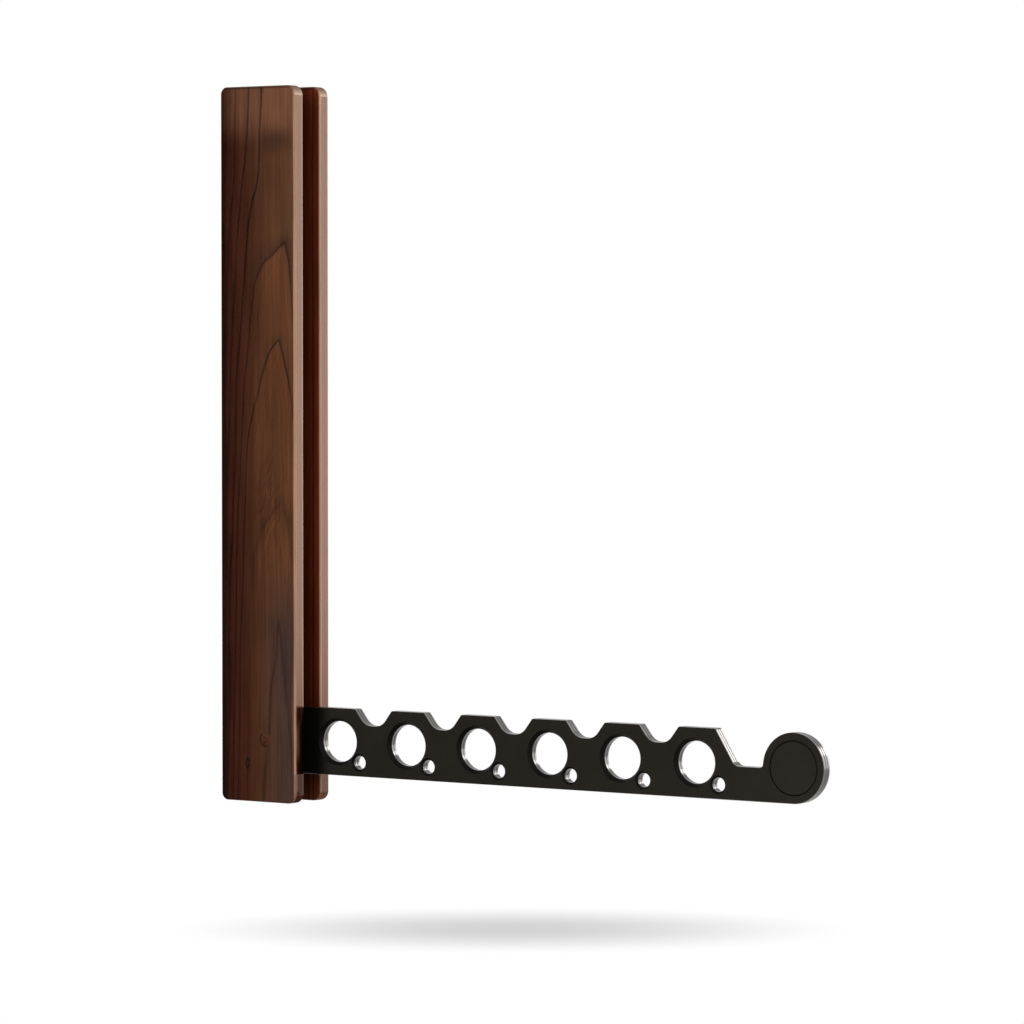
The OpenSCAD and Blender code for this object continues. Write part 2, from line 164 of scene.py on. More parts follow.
# %% Surfaces
class Shell:
    """Collects the grids and flat faces of one piece, and makes its mesh."""

    def __init__(self):
        self.points, self.directions, self.faces, self.zones = [], [], [], []
        self.count = 0

    def carry(self, path, profile, zone=0):
        """Vertex (i, j) is path point i, drawn in by profile row j against the outward
        direction, at that row's place across. Returns its first and last rings. zone is
        one number, or one for each strip of the profile."""
        place, away = path[:, None, :2], path[:, None, 2:]
        flat = place - profile[None, :, :1] * away
        x = np.broadcast_to(profile[None, :, 1], flat.shape[:2])
        facing = away * profile[None, :, 2:3]
        self.points.append(np.stack([x, -flat[..., 0], flat[..., 1]], axis=2).reshape(-1, 3))
        nx = np.broadcast_to(profile[None, :, 3], flat.shape[:2])
        turned_to = np.stack([nx, -facing[..., 0], facing[..., 1]], axis=2)
        self.directions.append(turned_to.reshape(-1, 3))
        rows, columns = flat.shape[:2]
        index = self.count + np.arange(rows * columns).reshape(rows, columns)
        a, b = index, np.roll(index, -1, axis=0)
        quads = np.stack([a[:, :-1], a[:, 1:], b[:, 1:], b[:, :-1]], axis=2).reshape(-1, 4)
        self.faces += quads.tolist()
        self.zones += np.broadcast_to(zone, (rows, columns - 1)).ravel().tolist()
        self.count += rows * columns
        return index[:, 0], index[:, -1]

    def close(self, rings, left, zone=0):
        """Fills the flat face between an outer ring and the rings of its round holes.
        A triangle stays if its middle is further from each hole's centre than the ring is."""
        order = np.concatenate(rings)
        points = np.vstack(self.points)[:, 1:] * (-1, 1)
        flat = points[order]
        starts = np.cumsum([0] + [len(ring) for ring in rings])
        edges = [(a + k, a + (k + 1) % (b - a))
                 for a, b in zip(starts, starts[1:]) for k in range(b - a)]
        inside_only, nearness = 1, 1e-7
        _, _, triangles, came_from, _, _ = delaunay_2d_cdt(
            [Vector(p) for p in flat], edges, [], inside_only, nearness)
        corners = order[np.array([k[0] for k in came_from])][np.array(triangles)]
        middle = points[corners].mean(axis=1)
        keep = np.ones(len(corners), bool)
        for ring in rings[1:]:
            centre = points[ring].mean(axis=0)
            radius = np.linalg.norm(points[ring[0]] - centre)
            keep &= np.linalg.norm(middle - centre, axis=1) > radius
        corners = corners[keep] if left else corners[keep][:, ::-1]
        self.faces += corners.tolist()
        self.zones += [zone] * len(corners)

    def build(self, name, mirror=False):
        """Makes the object: metres, true directions for the shading, one material per zone."""
        points, directions = np.vstack(self.points) * MM, np.vstack(self.directions)
        faces = self.faces
        if mirror:
            points[:, 0] *= -1
            directions[:, 0] *= -1
            faces = [face[::-1] for face in faces]
        directions = directions / np.linalg.norm(directions, axis=1, keepdims=True)
        mesh = bpy.data.meshes.new(name)
        mesh.from_pydata(points, [], faces)
        mesh.polygons.foreach_set("use_smooth", np.ones(len(faces), bool))
        mesh.polygons.foreach_set("material_index", np.array(self.zones, np.int32))
        mesh.normals_split_custom_set_from_vertices(directions)
        mesh.update()
        piece = bpy.data.objects.new(name, mesh)
        scene.collection.objects.link(piece)
        print(name, len(mesh.vertices), "vertices,", len(faces), "faces")
        return piece


# %% [markdown]
# ## The two boards
# Each board is a long rectangle with rounded corners, and all its arrises are eased. A box with
# a Bevel modifier would do, but its corners and arrises share one radius. Here the outline has
# its own corner radii and the carried profile has the arris. A stepped hole takes the wooden
# plug from the outside and the bushing from the slot.

# %% Boards
board_path = rounded([(0, body_foot, back_round), (body_depth, body_foot, front_round),
                      (body_depth, body_head, front_round), (0, body_head, back_round)])
step_back, plug_mouth, sleeve_mouth = sleeve_r - plug_r, 0.1, 0.2
plug_bore = np.vstack([quarter(-board_out, plug_mouth, 2, left=True),
                       [[0, plug_depth - board_out, 1, 0],
                        [step_back, plug_depth - board_out, 1, 0]],
                       quarter(-slot_half, sleeve_mouth, 2, left=False) + [step_back, 0, 0, 0]])


def board(side):
    """One board. The right one is the left one's mirror image."""
    shell = Shell()
    outer = shell.carry(board_path, bar_edge(-board_out, -slot_half, arris, steps=8))
    bore = shell.carry(hole((pivot_out, 0), plug_r + seat), plug_bore)
    shell.close([outer[0], bore[0]], left=True)
    shell.close([outer[1], bore[1]], left=False)
    piece = shell.build(side + "_board", mirror=side == "right")
    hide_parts(side + "_cheek")
    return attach(piece, "wall_body")


boards = {side: board(side) for side in ("left", "right")}

# %% [markdown]
# ## Plugs and caps
# A plug is a slice of a walnut dowel, sanded flush with the board, so that only a fine circle
# shows. The caps on the tip are pressed discs with a very shallow dish. Both are turned
# shapes: a profile carried round a circle, and closed at both ends.


# %% Turned pieces
def turned(name, centre, radius, profile, zone, mirror, node, body):
    """A disc: its profile goes round a circle, and flat faces close it on both sides."""
    shell = Shell()
    first, last = shell.carry(disc_edge(centre, radius), profile, zone)
    shell.close([first], left=True)
    shell.close([last], left=False)
    piece = shell.build(name, mirror)
    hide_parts(node)
    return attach(piece, body)


plug_round, cap_round = 0.15, 0.6
dish_floor, dish_rim, dish_depth = 3.0, 1.5, 0.15
plug_profile = bar_edge(-board_out, plug_depth - board_out, plug_round, steps=3)
dish = np.array([[dish_floor, dish_depth - arm_half, 0, -1], [dish_rim, -arm_half, 0, -1]])
cap_profile = np.vstack([dish, bar_edge(-arm_half, cap_depth - arm_half, cap_round, steps=4)])
cap_zones = [0] * len(dish) + [1] * (len(cap_profile) - len(dish) - 1)
plugs, caps = {}, {}
for side in ("left", "right"):
    plugs[side] = turned(side + "_grain_plug", (pivot_out, 0), plug_r, plug_profile, 0,
                         side == "right", side + "_plug", "wall_body")
    caps[side] = turned(side + "_tip_disc", (pivot_out + tip_reach, 0), cap_r, cap_profile,
                        cap_zones, side == "right", side + "_tip_cap", "swing_arm")

# %% [markdown]
# ## The arm
# The arm is cut from flat bar. Its outline goes round the tip, through the wide notch and the
# five notches, over the rounded root and back along the straight lower edge. The hanger holes
# and the small holes have a dished rim on the left face, and the edges show two fine lines,
# where the layers of the bar meet.

# %% Outline of the arm
notch_shift, notch_half, notch_floor_half, notch_depth = 24.5, 12.4, 5.45, 9.05
notch_foot, shoulder, heel = 8.5, 1.6, 1.5
notch_places = hook_places[:-1] + notch_shift
tail_shift, tail_slope, tail_depth, tail_round, fillet = 13.0, 12.25, 19.45, 5.0, 2.2
tail_top = hook_places[-1] + tail_shift
tail_foot = tail_top + tail_slope
tail_floor = half_height - tail_depth
wide_bend = 10.0


def arm_path():
    """The arm's outline, from the foot of the tip's circle round and back. The tail is the
    wide notch beside the tip. A small fillet joins its floor to the circle."""
    rise = tail_floor + fillet
    reach = math.sqrt((half_height + fillet) ** 2 - rise ** 2)
    touch = math.atan2(rise, -reach)
    tip = arc((tip_reach, 0), half_height, -math.pi / 2, touch + math.pi / 2, 72)
    start = touch - math.pi
    inner = arc((tip_reach - reach, rise), fillet, start, -math.pi / 2 - start, 8, side=-1)
    corners = [(tail_foot, tail_floor, tail_round), (tail_top, half_height, shoulder)]
    for at in notch_places[::-1]:
        corners += [(at + notch_half, half_height, shoulder),
                    (at + notch_floor_half, half_height - notch_depth, notch_foot),
                    (at - notch_floor_half, half_height - notch_depth, notch_foot),
                    (at - notch_half, half_height, shoulder)]
    corners += [(-half_height, half_height, half_height), (-half_height, -half_height, heel)]
    legs = [(tip_reach - reach, tail_floor)] + corners + [(tip_reach, -half_height)]
    bends = [corner(before, at, after, at[2], steps=24 if at[2] > wide_bend else 8)
             for before, at, after in zip(legs, legs[1:], legs[2:])]
    return np.vstack([tip, inner] + bends)


arm_outline = arm_path()
arm_outline[:, 0] += pivot_out
print("arm outline:", len(arm_outline), "points, up to", arm_outline[:, 0].max(), "mm out")


# %% The arm's solid
edge_zone, rim_zone = 1, 2
edge_round, hole_round, pin_round, cap_mouth = 0.35, 0.25, 0.2, 0.1
layer_places = (-1.0, 1.0)


def rimmed(rim, depth):
    """A hole's profile: from its dished rim on the left face, down a cone, and straight on."""
    slope = math.hypot(rim, depth)
    facing = [depth / slope, -rim / slope]
    rows = [[rim, -arm_half, 0, -1], [0.93 * rim, 0.05 * depth - arm_half, *facing],
            [0.05 * rim, 0.94 * depth - arm_half, *facing], [0, depth - arm_half, 1, 0]]
    return np.vstack([np.array(rows), quarter(arm_half, hole_round, 4, left=False)])


rim_zones = [rim_zone] * 2 + [edge_zone] * 6
shelf = magnet_r - cap_r
tip_bore = np.vstack([quarter(-arm_half, cap_mouth, 2, left=True),
                      [[0, cap_depth - arm_half, 1, 0], [shelf, cap_depth - arm_half, 1, 0],
                       [shelf, arm_half - cap_depth, 1, 0], [0, arm_half - cap_depth, 1, 0]],
                      quarter(arm_half, cap_mouth, 2, left=False)])
pin_bore = bar_edge(-arm_half, arm_half, pin_round, steps=3)
hook_hole, eye_hole = rimmed(hook_rim, hook_rim_depth), rimmed(eye_rim, eye_rim_depth)
shell = Shell()
arm_edge_rows = bar_edge(-arm_half, arm_half, edge_round, grooves=layer_places)
rings = [shell.carry(arm_outline, arm_edge_rows, edge_zone)]
for at in hook_places + pivot_out:
    rings.append(shell.carry(hole((at, 0), hook_r), hook_hole, rim_zones))
    rings.append(shell.carry(hole((at + eye_out, -eye_down), eye_r, 48), eye_hole, rim_zones))
rings.append(shell.carry(hole((pivot_out, 0), sleeve_r + seat), pin_bore, edge_zone))
rings.append(shell.carry(hole((pivot_out + tip_reach, 0), cap_r + seat), tip_bore, rim_zone))
shell.close([ring[0] for ring in rings], left=True)
shell.close([ring[1] for ring in rings], left=False)
arm_bar = shell.build("arm_bar")
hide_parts("arm")
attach(arm_bar, "swing_arm")

# %% [markdown]
# ## Writing finishes as sums
# A finish is a recipe: streaks, plus pores, minus wear. Node editors show such recipes as
# boxes and wires. Here a small class wraps a value on the surface, so that a plain sum in
# Python adds the Math nodes for it.


# %% Values on a surface
def operation(name, swapped=False):
    """A method for Field, which adds one Math node."""
    def method(self, *others):
        values = (*others, self) if swapped else (self, *others)
        return self.recipe.field("ShaderNodeMath", *values, settings={"operation": name})
    return method


class Field:
    """A number that varies over the surface. Arithmetic on it adds Math nodes."""

    def __init__(self, recipe, socket):
        self.recipe, self.socket = recipe, socket

    __add__ = __radd__ = operation("ADD")
    __sub__, __rsub__ = operation("SUBTRACT"), operation("SUBTRACT", swapped=True)
    __mul__ = __rmul__ = operation("MULTIPLY")
    __truediv__ = operation("DIVIDE")
    least, most = operation("MINIMUM"), operation("MAXIMUM")
    root, size, exp = operation("SQRT"), operation("ABSOLUTE"), operation("EXPONENT")

    def square(self):
        return self * self

    def bell(self, width):
        """exp(-(value / width) squared): 1 where the value is 0, fading over width."""
        return (0 - (self / width).square()).exp()

    def fade(self, length):
        """exp(-value / length), for values above 0."""
        return (self / -length).exp()

    def step(self, low, high):
        """A smooth step from 0 at low to 1 at high."""
        smooth = {"interpolation_type": "SMOOTHSTEP"}
        return self.recipe.field("ShaderNodeMapRange", self, low, high, 0, 1, settings=smooth)


def linear(red, green, blue):
    """A colour as a screen shows it, 0 to 255, as the linear light that a shader works in."""
    share = np.array([red, green, blue]) / 255
    light = np.where(share <= 0.04045, share / 12.92, ((share + 0.055) / 1.055) ** 2.4)
    return (*light.tolist(), 1.0)


# %% Recipes and finishes
class Recipe:
    """A node tree, and the tools that fill it."""

    def __init__(self, tree):
        self.tree = tree
        self.tree.nodes.clear()

    def feed(self, socket, value):
        """Links a socket to a value, or sets it to a constant."""
        if isinstance(value, Field):
            value = value.socket
        if isinstance(value, bpy.types.NodeSocket):
            self.tree.links.new(value, socket)
        else:
            socket.default_value = value

    def node(self, kind, *values, settings=None, **named):
        """Adds a node. values feed its sockets in order, and named ones by the socket's name."""
        made = self.tree.nodes.new(kind)
        for key, value in (settings or {}).items():
            setattr(made, key, value)
        live = [socket for socket in made.inputs if socket.enabled]
        for socket, value in zip(live, values):
            self.feed(socket, value)
        for key, value in named.items():
            self.feed(made.inputs[key.replace("_", " ")], value)
        return made

    def field(self, kind, *values, **named):
        """Adds a node, and gives its first output as a value to calculate with."""
        made = self.node(kind, *values, **named)
        return Field(self, next(socket for socket in made.outputs if socket.enabled))

    def place(self):
        """Distance across, out from the wall and up, in millimetres, on the piece itself."""
        spot = self.node("ShaderNodeTexCoord").outputs["Object"]
        parts = self.node("ShaderNodeSeparateXYZ", spot).outputs
        x, y, z = (Field(self, socket) for socket in parts)
        return x / MM, y / -MM, z / MM

    def noise(self, x, y, z, detail=2.0, rough=0.5):
        """Noise from -0.5 to 0.5 with one bump for each unit of its three coordinates."""
        spot = self.node("ShaderNodeCombineXYZ", x, y, z).outputs[0]
        made = self.node("ShaderNodeTexNoise", Vector=spot, Scale=1.0, Detail=detail,
                         Roughness=rough)
        return Field(self, made.outputs[0]) - 0.5

    def ramp(self, value, stops):
        """Colours along a value, given as (value from 0 to 1, colour)."""
        made = self.node("ShaderNodeValToRGB", value)
        elements = made.color_ramp.elements
        while len(elements) < len(stops):
            elements.new(0.5)
        for element, (place, colour) in zip(elements, stops):
            element.position, element.color = place, colour
        return made.outputs[0]

    def curve(self, value, points):
        """A smooth curve through points from 0 to 1."""
        made = self.node("ShaderNodeFloatCurve", 1.0, value)
        bends = made.mapping.curves[0].points
        while len(bends) < len(points):
            bends.new(0.5, 0.5)
        for bend, place in zip(bends, sorted(points)):
            bend.location = place
        made.mapping.update()
        return Field(self, made.outputs[0])

    def mix(self, share, first, second, blend="MIX"):
        """Mixes two colours: the first where share is 0, the second where it is 1."""
        kind = {"data_type": "RGBA", "blend_type": blend}
        return self.node("ShaderNodeMix", share, first, second, settings=kind).outputs[2]

    def tone(self, value):
        """A value as a colour without any hue."""
        return self.node("ShaderNodeCombineXYZ", value, value, value).outputs[0]

    def shaded(self, colour, light):
        """A colour made lighter or darker by a factor."""
        return self.mix(1.0, colour, self.tone(light), "MULTIPLY")

    def blend(self, share, first, second):
        """Mixes two shader nodes in the same way."""
        return self.node("ShaderNodeMixShader", share, first.outputs[0], second.outputs[0])

    def looked_at(self):
        """1 for what the camera sees, directly, in a mirror or through glass; otherwise 0."""
        path = self.node("ShaderNodeLightPath").outputs
        camera, mirror, glass = (Field(self, path[name]) for name in (
            "Is Camera Ray", "Is Glossy Ray", "Is Transmission Ray"))
        return camera.most(mirror).most(glass)


class Finish(Recipe):
    """One material: a recipe that ends in a shader."""

    def __init__(self, name):
        self.material = bpy.data.materials.new(name)
        self.material.use_nodes = True
        super().__init__(self.material.node_tree)
        self.shader = self.node("ShaderNodeBsdfPrincipled")
        self.output = self.node("ShaderNodeOutputMaterial", self.shader.outputs[0])

    def put(self, **sockets):
        """Sets or links sockets of the shader."""
        for key, value in sockets.items():
            self.feed(self.shader.inputs[key.replace("_", " ")], value)

    def bump(self, height, strength, distance):
        """Fine relief in the surface: its height, how strong it is and its depth in metres."""
        made = self.node("ShaderNodeBump", Strength=strength, Distance=distance,
                         Height=height)
        self.put(Normal=made.outputs[0])

    def cover(self, share, colour):
        """A dull layer over the finish, for painted shade, painted highlights and marks. share is
        how much of it shows at a point, from 0 to 1.
        """
        dull_layer = self.node("ShaderNodeBsdfPrincipled", Base_Color=colour, Roughness=0.9,
                          Specular_IOR_Level=0.0)
        self.show(self.blend(share, self.shader, dull_layer))

    def show(self, last):
        """Ends the recipe in another node than the first shader."""
        self.feed(self.output.inputs[0], last.outputs[0])

    def done(self):
        """Prints how many nodes the finish took, and gives its material."""
        print(self.material.name, len(self.tree.nodes), "nodes")
        return self.material


# %% [markdown]
# ## Walnut
# The left board shows flat-sawn figure: dark growth lines run up the side near the wall, and
# arch over towards the front as the saw leaves each ring. A ready-made wood texture gives rings
# with even steps, which never look like this. So each growth line is drawn as one curve: its
# distance out for each height. A line is thin and nearly black, with a soft grey shade on its
# outer side and warm wood inside it. Streaks and pores follow the grain between the lines.
#
# Then come marks: two grey patches and a small knot on the broad side, and a small knot on the left
# front. The rest is painted light: shade on the fronts below the arm, beside it on the left one,
# and where they curve under at the foot; highlights along the fronts' edges and on the bend at each
# front's head; and in the slot, redder walls, shade deeper in and a glow at its mouth.

# %% The growth lines: (height, distance out) on the left board, limb by limb
grain_lines = [
    dict(dark=0.8, width=0.7, shade=0.0, left=[
        (365, 11), (330, 10.3), (310, 9.3), (295, 7.5), (280, 6), (262, 4.6), (245, 3.6),
        (200, 2.4), (-35, 1.5)]),
    dict(dark=0.9, width=0.7, shade=0.0, left=[
        (365, 20), (340, 19), (325, 17.5), (312, 15.5), (300, 14), (278, 11.5), (250, 9.5),
        (228, 7.7), (195, 6.6), (150, 4.6), (90, 3.2), (-35, 2.6)]),
    dict(dark=1.0, width=0.75, shade=0.3, left=[
        (365, 29), (338, 28), (325, 27.4), (312, 26), (300, 22.3), (290, 19.9), (278, 18.8),
        (262, 17.2), (235, 14.5), (210, 11.8), (180, 10.4), (150, 9.7), (115, 8), (90, 6.3),
        (60, 5.6), (10, 5.2), (-35, 4.6)]),
    dict(dark=0.9, width=0.6, shade=1.0, peak=(278, 45), left=[
        (274, 40), (270, 35), (266, 30), (260, 26.6), (254, 24.4), (240, 22), (220, 19.5),
        (195, 16.5), (165, 14.5), (125, 12), (90, 10.7), (50, 9.8), (-35, 8.6)],
        right=[(271, 47.2), (262, 49), (245, 50.4), (200, 52.5)]),
    dict(dark=0.9, width=0.55, shade=0.6, peak=(224, 41), left=[
        (220, 37.6), (215, 34), (205, 30), (192, 26), (180, 22), (170, 19.6), (158, 18.2),
        (130, 17), (100, 15.9), (80, 14.7), (55, 13.4), (30, 13.1), (-5, 12.9), (-35, 12)],
        right=[(216, 43.6), (207, 46), (196, 48.6), (170, 52.5)]),
    dict(dark=0.2, width=1.8, shade=0.8, soft=0.7, peak=(134, 43), left=[
        (129, 38.6), (124.5, 34.2), (120, 30.7), (113, 27.3), (103, 24.2), (91, 22), (78, 21.2),
        (40, 20.2), (10, 19.6), (-35, 18.4)],
        right=[(126, 45.4), (115, 47.8), (90, 52)]),
    dict(dark=0.5, width=1.0, shade=0.9, peak=(66, 40.5), left=[
        (52, 39.3), (42, 38), (33, 35.7), (20, 34.7), (5, 33.8), (-10, 32), (-22, 30.4),
        (-35, 29.8)],
        right=[(50, 43), (30, 45.6), (10, 47.6), (-35, 50)]),
]
lane_span, open_top = 60.0, 320
cross_rise, cross_reach = 12, 11
body_tall = body_head - body_foot
arches = sum("peak" in line for line in grain_lines)
print(len(grain_lines), "growth lines,", arches, "of them arches")

# %% The wood's colours, and the places and sizes of its marks, as (distance out, height)
wood_stops = [
    (0.0, linear(27, 9, 5)), (0.05, linear(43, 17, 9)), (0.10, linear(57, 25, 15)),
    (0.28, linear(69, 35, 23)), (0.40, linear(74, 43, 28)), (0.55, linear(86, 53, 35)),
    (0.80, linear(95, 61, 41)), (1.0, linear(98, 64, 44))]
# A painted highlight on the bend at each front's head, from where it starts to curve up to its top.
head_highlight_stops = [
    (0.0, linear(212, 186, 172)), (0.35, linear(182, 154, 140)), (0.6, linear(152, 122, 104)),
    (1.0, linear(120, 86, 66))]
warm_wood, pale_head, grey_shade = linear(100, 57, 32), linear(118, 77, 57), linear(54, 37, 29)
foot_veil, foot_rim, dark_line = linear(68, 51, 46), linear(100, 66, 58), linear(22, 14, 13)
# Next line: the slot's walls redder as painted bounce light, the fronts' own brown, and a painted
# highlight for the fronts' edges.
slot_bounce_red, front_brown, arris_highlight = linear(112, 46, 24), linear(92, 44, 24), linear(172, 130, 103)
# Painted shade: brown to nearly black beside the arm on the left front, darker brown below it, and
# dark ends where the fronts curve under at the foot. The nearly black is also the left front's
# knot, and the last colour is for the slot's dark streaks.
arm_shade_brown, arm_shade_dark, end_shade = linear(84, 52, 38), linear(40, 14, 5), linear(64, 28, 17)
shade_and_knot_black, right_end_shade, slot_streak = linear(14, 8, 6), linear(100, 62, 36), linear(28, 14, 8)

smudge_at, smudge_size = (39, 334), (12, 6.5)
patch_at, patch_size = (45, 38), (5, 30)
flecks_at, flecks_size = (34, 130), (10, 34)
knot_at, knot_stretch, check_width = (18.6, -13.5), 5.5, 0.5
front_knot_x, front_knot_up = -13.0, -29.2
rim_out, slot_light_out, slot_dark_out = 50.3, 45.9, 47.2
# Where the painted glow at the slot's mouth lies.
mouth_at, mouth_size = (50.3, 170), (1.6, 110)


# %% Walnut, part by part
class Walnut(Finish):
    """A walnut finish. lane_of and height_of say where on the drawn figure each point lies,
    and figure says how strongly the figure shows, from 0 to 1."""

    def __init__(self, name, lane_of, height_of, figure):
        super().__init__(name)
        self.figure = figure
        x, out, up = self.x, self.out, self.up = self.place()
        self.drift = self.noise(x / 30, out / 30, up / 60)
        wander = self.drift * 2.2 + self.noise(x / 6, out / 6, up / 45, 3) * 0.9
        self.lane = lane_of(x, out, up) + wander
        self.high = height_of(x, out, up) + self.noise(x / 9, out / 9, up / 14) * 2.5
        self.height = (self.high - body_foot) / body_tall
        self.fine = self.noise(self.lane / 1.3, x / 3, up / 48, 3, 0.6)
        self.streak = self.noise(self.lane / 4, x / 8, up / 100, 2)
        self.pores = self.noise(self.lane / 0.28, x / 0.5, up / 7, 2, 0.5).step(0.14, 0.30)
        self.cloud = self.noise(x / 20, self.lane / 16, self.high / 40, 2)
        # The fronts, the slot's walls and what is below the arm, each from 0 to 1
        self.front = out.step(body_depth - 1.3, body_depth - 0.7)
        self.inner = (slot_half - x.size()).step(-0.8, -0.2)
        self.below_arm = 1 - up.step(-20, -17)

    def spot(self, at, size):
        """A soft spot on the figure: 1 at its middle, fading over its two sizes."""
        return (self.lane - at[0]).bell(size[0]) * (self.high - at[1]).bell(size[1])

    def limb(self, points):
        """The curve of one limb: a lane from 0 to lane_span for each height of the body."""
        places = [((up - body_foot) / body_tall, out / lane_span) for up, out in points]
        return self.curve(self.height, places) * lane_span

    def inside_of(self, line):
        """How far a point lies inside a line. An arch's limbs cross above its peak."""
        if "peak" not in line:
            return self.lane - self.limb(line["left"])
        up, out = line["peak"]
        left = [(body_head, lane_span), (up + cross_rise, out + cross_reach), (up, out)]
        right = [(body_head, 0), (up + cross_rise, out - cross_reach), (up, out)]
        from_left = self.lane - self.limb(left + line["left"])
        return from_left.least(self.limb(right + line["right"]) - self.lane)

    def follow_lines(self):
        """Adds up all lines: clear of the dark lines, grey shade outside them, and warm wood and
        ripples inside the arches."""
        x, up, lane, high, figure = self.x, self.up, self.lane, self.high, self.figure
        faint = (0.85 + self.noise(x / 30, lane / 9, up / 26, 2) * 1.5).least(1).most(0.3)
        clear, shade, warm, ripple = 1.0, 0.0, 0.0, 0.0
        for line in grain_lines:
            inside = self.inside_of(line)
            beyond, within = (0 - inside).most(0), inside.most(0)
            clear = (1 - inside.bell(line["width"]) * (faint * line["dark"] * figure)) * clear
            top = line["peak"][0] if "peak" in line else open_top
            near_top = (0.12 + (top - high).most(0).fade(28.0) * 0.88) * (line["shade"] * figure)
            if "soft" in line:
                near_top = near_top * (1 - (high - top).step(-13, 1) * line["soft"])
            shade = (beyond.fade(7.0) * within.fade(0.7) * near_top).most(shade)
            if "peak" in line:
                warm = ((1 - within.fade(3.0)) * within.fade(14.0)).most(warm)
                wave = self.noise(inside / 1.7, x / 6, up / 60, 2)
                ripple = wave * (within.step(0.5, 4) * within.fade(12.0)) + ripple
        return clear, shade, warm, ripple

    def colour(self, clear, shade, warm):
        """The wood's colour: the ramp from the wall to the front, the marks on the broad side, the
        dark lines, then the slot's walls, redder as painted bounce light, and the fronts, with
        painted highlights along their edges."""
        x, out, up = self.x, self.out, self.up
        lane, high, figure = self.lane, self.high, self.figure
        along = lane / lane_span + self.streak * 0.05 + self.cloud * 0.06
        colour = self.mix(warm * lane.step(19, 36) * 0.75, self.ramp(along, wood_stops), warm_wood)
        near_head = (high - 338).step(-8, 14) * lane.step(-3, 15)
        colour = self.mix(near_head * 0.75, colour, pale_head)
        aside, above = lane - knot_at[0], high - knot_at[1]
        knot = (aside.square() + above.square() / knot_stretch).root()
        check = aside.bell(check_width) * (1 - high.step(-19, -15)) * 0.6
        knot_edge = (knot - 1).bell(0.6).most(check) * figure
        grey = shade.most(self.spot(smudge_at, smudge_size) * (0.8 * figure))
        grey = grey.most(self.spot(patch_at, patch_size) * (0.95 * figure))
        colour = self.mix(grey * 0.9, colour, grey_shade)
        veil = lane.step(20, 48) * (1 - high.step(50, 110)) * (0.9 * figure)
        colour = self.mix(veil, colour, foot_veil)
        rim = (out - rim_out).bell(0.8) * (x.size() - board_out).step(-0.7, -0.3)
        rim = rim * (1 - up.step(15, 50)) * figure
        colour = self.mix(rim * 0.8, colour, foot_rim)
        colour = self.mix((1 - clear).most(knot_edge) * 0.85, colour, dark_line)
        # The slot's walls redder: painted warm bounce light.
        colour = self.mix(self.inner * 0.6, colour, slot_bounce_red)
        # Painted highlights along each front's outer edge and along its edge at the slot.
        outer_arris = (x.size() - board_out + 0.2).bell(0.9)
        slot_arris = (x.size() - slot_half - 0.75).bell(0.6) * 1.3
        front_and_highlights = self.mix(outer_arris + slot_arris, front_brown, arris_highlight)
        return self.mix(self.front * 0.85, colour, front_and_highlights)

    def light(self, ripple):
        """How light the wood is: its grain, a darker and a lighter line along the slot's walls,
        then painted light: shade deeper in the slot and a glow at its mouth, the fronts lighter at
        the foot and darker towards the head, shade on the fronts below the arm, and shade at the
        top.
        """
        x, out, up, inner = self.x, self.out, self.up, self.inner
        flecks = self.noise((out - up * 0.45) / 0.8, x / 3, (up + out * 0.45) / 7, 1)
        flecks = flecks * self.spot(flecks_at, flecks_size) * self.figure
        light = (1 + flecks * 1.1 + self.fine * 0.8 + self.streak * 0.8 + self.cloud * 0.5
                 + ripple * 0.7 - self.pores * 0.22)
        # Painted shade: the slot's walls darker deeper in. A darker line also runs along them.
        slot_line = (out - slot_dark_out + self.drift * 2).bell(0.6) * 0.4
        light = light * (1 - inner * ((1 - out.step(36, 51.5)) * 0.65 + slot_line))
        # A painted glow at the slot's mouth. A lighter line also runs along the slot's walls.
        mouth = (out - mouth_at[0]).bell(mouth_size[0]) * (up - mouth_at[1]).bell(mouth_size[1])
        light = light * (1 + inner * mouth * 0.5)
        light = light * (1 + inner * (out - slot_light_out).bell(0.6) * 0.3)
        # Painted light on the fronts: lighter at the foot, darker towards the head.
        from_foot_to_head = (1 - up.step(10, 100)) * 0.12 - up.step(190, 280) * 0.1
        light = light * (1 + self.front * from_foot_to_head)
        # Painted shade on the fronts below the arm.
        light = light * (1 - self.front * self.below_arm * 0.45)
        # Painted shade at the board's top.
        return light * (1 - up.step(body_head - 2.0, body_head - 0.7) * 0.6)


# %% Painted shade, painted highlights and marks
def head_highlight(wood, share, colour):
    """Adds a painted highlight on the fronts' rounded heads, lightest where they start to curve."""
    from_slot, from_face = wood.x.size() - slot_half, board_out - wood.x.size()
    above_bend = wood.up - (body_head - front_round)
    head_glint = from_slot.step(0.2, 0.8) * from_face.step(0.2, 0.8) * above_bend.step(-0.4, 0.3)
    head_glint = head_glint * wood.out.step(body_depth - 6, body_depth - 5) * 0.85
    light = wood.ramp(above_bend / front_round, head_highlight_stops)
    return share.most(head_glint), wood.mix(wood.up.step(0, 300), colour, light)


